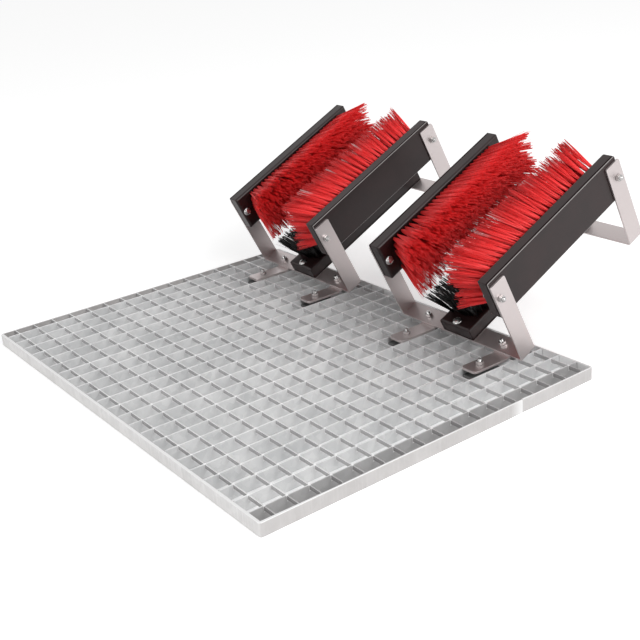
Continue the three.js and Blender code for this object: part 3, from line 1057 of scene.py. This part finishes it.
redInfo = {
    **bristleInfo,
    "material": redNylon,
    "slot": "red_bristle",
    "firstTuft": 26,
    "lastTuft": 264,
    "rootHalf": 24,
    "lockRadius": 1.9,
    "reach": 69,
    "fanAlong": 24,
    "fanUp": 18,
    "fanDown": 13,
    "strayBy": 3.0,
    "rings": (0, 0.62, 1),
}
leftRedInfo = {
    **redInfo,
    "tipRadius": 8.0,
    "lockTip": 0.8,
    "uneven": 0.5,
    "pale": 0.1,  # share of locks with a pale tip, a painted glint
    "paleRows": (0, 2),
    "tone": 0.74,
    # Painted shade on the face that the left brush's tips form
    "tipTone": 0.16,
    "tipVary": 0.25,
}
rightRedInfo = {
    **redInfo,
    "tipRadius": 6.4,
    # Share of locks with a painted glint at the tip
    "pale": 0.05,
    "paleRows": (2, 6),
    "tone": 0.62,
    "tipTone": 0.56,
}
blackInfo = {
    **bristleInfo,
    "material": blackNylon,
    "slot": "black_bristle",
    "firstTuft": 24,
    "lastTuft": 266,
    "rootHalf": 22,
    "lockRadius": 1.7,
    "reach": 45,
    "fanAlong": 18,
    "fanUp": 17,
    "fanDown": 17,
    "strayBy": 3.5,
    "rings": (0, 0.6, 1),
    "tipRadius": 6.8,
    # Share of locks with a painted glint at the tip
    "pale": 0.04,
    "paleRows": (0, 6),
    "tone": 0.45,
    "tipTone": 0.45,
}
strandSides = 3


def tuftPlaces(info):
    roots, tips = [], []
    span = 2 * info["rootHalf"] + info["fanDown"] + info["fanUp"]
    for row in range(info["rows"]):
        across = row / (info["rows"] - 1)
        for column in range(info["columns"]):
            along = (column + (info["stagger"] * row) % 1) / (info["columns"] - info["endRoom"])
            y = info["firstTuft"] + along * (info["lastTuft"] - info["firstTuft"])
            tipX = -info["rootHalf"] - info["fanDown"] + across * span
            roots.append(((across - 0.5) * 2 * info["rootHalf"], y, 0))
            tips.append((tipX, y + (2 * along - 1) * info["fanAlong"], info["reach"]))
    return np.array(roots, float), np.array(tips, float)


# Points spread evenly over a disc of radius 1
def discPoints(total):
    distance = np.sqrt(rng.random(total))
    angle = rng.random(total) * 2 * math.pi
    return np.stack([distance * np.cos(angle), distance * np.sin(angle), np.zeros(total)], 1)


def strays(info, total):
    limit = 2 * info["strayBy"]
    shift = np.clip(rng.normal(0, info["strayBy"], (total, 3)), -limit, limit)
    return shift * (1, 1, 0) * (rng.random(total) < info["stray"])[:, None]


# Every strand as a row of points from its root to its tip. A tuft opens out towards its tips and
# parts into locks; the strands of a lock run side by side and close up at its point.
def strandPaths(info):
    roots, tips = (np.repeat(points, info["locks"], 0) for points in tuftPlaces(info))
    total = len(roots)
    offset = discPoints(total)
    start = roots + offset * info["rootRadius"]
    end = tips + offset * info["tipRadius"] + strays(info, total)
    longer = 1 + np.clip(rng.normal(0, info["uneven"], total), *info["unevenLimits"]) / info["reach"]
    end = start + (end - start) * longer[:, None]
    start, end = (np.repeat(points, info["perLock"], 0)[:, None] for points in (start, end))
    total *= info["perLock"]
    loose = (rng.random(total) < info["loose"])[:, None]
    end[:, 0] += discPoints(total) * info["tipRadius"] * info["looseReach"] * loose
    offset = discPoints(total)
    t = np.array(info["rings"], float)[:, None]
    shares = (*info["lockShares"], info["lockTip"] / info["lockRadius"])
    widths = np.interp(t, info["lockPlaces"], shares) * info["lockRadius"]
    paths = start * (1 - t) + end * t + offset[:, None] * widths + strays(info, total)[:, None] * t
    shorter = rng.random(total)[:, None, None] ** 2 * 2 * info["uneven"] / info["reach"]
    paths = paths[:, :1] + (paths - paths[:, :1]) * (1 - shorter)
    paths[:, 0, 2] = -info["rootDepth"]
    return paths


# Points round every ring of every strand, which thins towards its tip
def strandSkin(info, paths):
    tangent = np.gradient(paths, axis=1)
    tangent /= np.linalg.norm(tangent, axis=2, keepdims=True)
    across = np.cross(tangent, (1.0, 0, 0))
    across /= np.linalg.norm(across, axis=2, keepdims=True)
    other = np.cross(tangent, across)
    parts = np.arange(strandSides)[None, :] / strandSides
    turn = (rng.random(len(paths))[:, None] + parts) * 2 * math.pi
    cosine, sine = np.cos(turn)[:, None, :, None], np.sin(turn)[:, None, :, None]
    skin = across[:, :, None] * cosine + other[:, :, None] * sine
    taper = np.linspace(*info["taper"], len(info["rings"]))[None, :, None, None] * info["radius"]
    return (paths[:, :, None] + skin * taper).reshape(-1, 3)


# Four-cornered sides and a triangle at each end, as corner numbers and where each face starts
def strandFaces(total, rings):
    sides = strandSides
    strand = np.arange(total)[:, None, None] * rings * sides
    ring = np.arange(rings - 1)[None, :, None] * sides
    side = np.arange(sides)[None, None, :]
    a, b = strand + ring + side, strand + ring + (side + 1) % sides
    quads = np.stack([a, b, b + sides, a + sides], -1).reshape(-1, 4)
    first = np.arange(total)[:, None] * rings * sides
    last = first + (rings - 1) * sides
    caps = np.concatenate([first + np.array([[2, 1, 0]]), last + np.array([[0, 1, 2]])])
    loops = np.concatenate([quads.ravel(), caps.ravel()])
    starts = np.concatenate([np.arange(len(quads)) * 4, quads.size + np.arange(len(caps)) * 3])
    return loops.astype(np.int32), starts.astype(np.int32)


# One tone for each ring of each strand
def strandTones(info, total):
    locks = total // info["perLock"]
    lockTones = rng.normal(info["tone"], info["lockVary"], locks)
    tones = np.repeat(lockTones, info["perLock"]) + rng.normal(0, info["strandVary"], total)
    tones = np.repeat(np.clip(tones, 0, lightTone)[:, None], len(info["rings"]), 1)
    # The tips take tipTone; a low one, as on the left brush, is painted shade on the tip face
    tones[:, -1] = info["tipTone"] + (tones[:, -1] - info["tone"]) * info["tipVary"]
    row = np.arange(locks) // (info["locks"] * info["columns"])
    first, last = info["paleRows"]
    pale = (rng.random(locks) < info["pale"]) & (row >= first) & (row < last)
    pale = np.repeat(pale, info["perLock"])
    # Pale tips: painted glints
    tones[pale, -2] = info["paleBelow"]
    tones[pale, -1] = 1
    return tones


def makeBristles(name, nodeName, info, place, flip):
    paths = strandPaths(info)
    paths[:, :, 0] *= flip
    points = strandSkin(info, paths)
    loops, starts = strandFaces(len(paths), len(info["rings"]))
    mesh = bpy.data.meshes.new(name)
    mesh.vertices.add(len(points))
    mesh.vertices.foreach_set("co", points.astype(np.float32).ravel())
    mesh.loops.add(len(loops))
    mesh.loops.foreach_set("vertex_index", loops)
    mesh.polygons.add(len(starts))
    mesh.polygons.foreach_set("loop_start", starts)
    mesh.update(calc_edges=True)
    attribute = mesh.attributes.new("strandTone", "FLOAT", "POINT")
    tones = np.repeat(strandTones(info, len(paths)).ravel(), strandSides)
    attribute.data.foreach_set("value", tones.astype(np.float32))
    mesh.transform(place @ Matrix.Scale(mm, 4))
    mesh.materials.append(info["material"])
    mesh.shade_smooth()
    linkPiece(bpy.data.objects.new(name, mesh), [nodeName])


# Each brush's own frame: x across its back, y along it, z out of its bristle face

brushPlaces = {
    "left": {"turn": 90, "x": -105.7, "z": 120, "flip": -1, "bristles": leftRedInfo},
    "right": {"turn": -90, "x": 105.7, "z": 120, "flip": 1, "bristles": rightRedInfo},
    "bottom": {"turn": 0, "x": 0, "z": 25.3, "flip": 1, "bristles": blackInfo},
}
screwPlaces = {"front": 9, "rear": 281}


def makeBrush(unitName, brushName, unit):
    spot = brushPlaces[brushName]
    label = f"{unitName}_{brushName}"
    move = Matrix.Translation((spot["x"] * mm, 0, spot["z"] * mm))
    place = unit @ move @ Matrix.Rotation(math.radians(spot["turn"]), 4, "Y")
    makeBack(f"{label}Back", backInfo, place, f"{label}_back")
    makeBristles(f"{label}Bristles", f"{label}_bristles", spot["bristles"], place, spot["flip"])
    gap, nutHeight = unitInfo["clearance"], fastenerInfo["nutHeight"]
    nutSeat = -backInfo["thickness"] - unitInfo["strapThickness"] - 2 * gap
    tip = nutSeat - nutHeight - fastenerInfo["threadEnd"]
    for end, y in screwPlaces.items():
        spotOnBack = place @ Matrix.Translation((0, y * mm, 0))
        makeScrew(f"{label}_{end}Screw", spotOnBack, [f"{label}_{end}_screw"], tip)
        nutPlace = spotOnBack @ Matrix.Translation((0, 0, (nutSeat - nutHeight) * mm))
        makeNut(f"{label}_{end}Nut", nutPlace, [f"{label}_{end}_nut"])


def makeFeet(unitName, unit):
    gap, footThickness = unitInfo["clearance"], footInfo["thickness"]
    grip = footThickness + unitInfo["strapThickness"] + 3 * gap
    length = grip + fastenerInfo["nutHeight"] + fastenerInfo["threadEnd"]
    for side, x in (("left", -footInfo["spacing"] / 2), ("right", footInfo["spacing"] / 2)):
        label = f"{unitName}_{side}"
        makeFoot(f"{label}Foot", footInfo, f"{label}_foot")
        makeStudPlate(f"{label}StudPlate", plateInfo, f"{label}_stud_plate", f"{label}_foot_nut")
        low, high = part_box(f"{label}_foot_nut")
        middle = (low + high) / 2
        turn = Matrix.Rotation(footInfo["nutTurn"], 4, "Z")
        nutPlace = Matrix.Translation((middle.x, middle.y, low.z)) @ turn
        makeNut(f"{label}FootNut", nutPlace, [f"{label}_foot_nut"])
        seat = -footThickness - 2 * gap
        place = unit @ Matrix.Translation((x * mm, unitInfo["strapWidth"] / 2 * mm, seat * mm))
        makeBolt(f"{label}FootBolt", place, [f"{label}_foot_bolt"], length)
        makeNut(f"{label}FootBoltNut", place @ Matrix.Translation((0, 0, grip * mm)), [])


for unitName in ("left_unit", "right_unit"):
    unit = unitMatrix(unitName)
    rearStart = bracketInfo["rearStart"]
    makeBracket(f"{unitName}_frontBracket", bracketInfo, f"{unitName}_front_bracket", unit, 0)
    makeBracket(f"{unitName}_rearBracket", bracketInfo, f"{unitName}_rear_bracket", unit, rearStart)
    makeFeet(unitName, unit)
    for brushName in brushPlaces:
        makeBrush(unitName, brushName, unit)
    print(unitName, "made")

bpy.context.scene.view_settings.view_transform = "Standard"
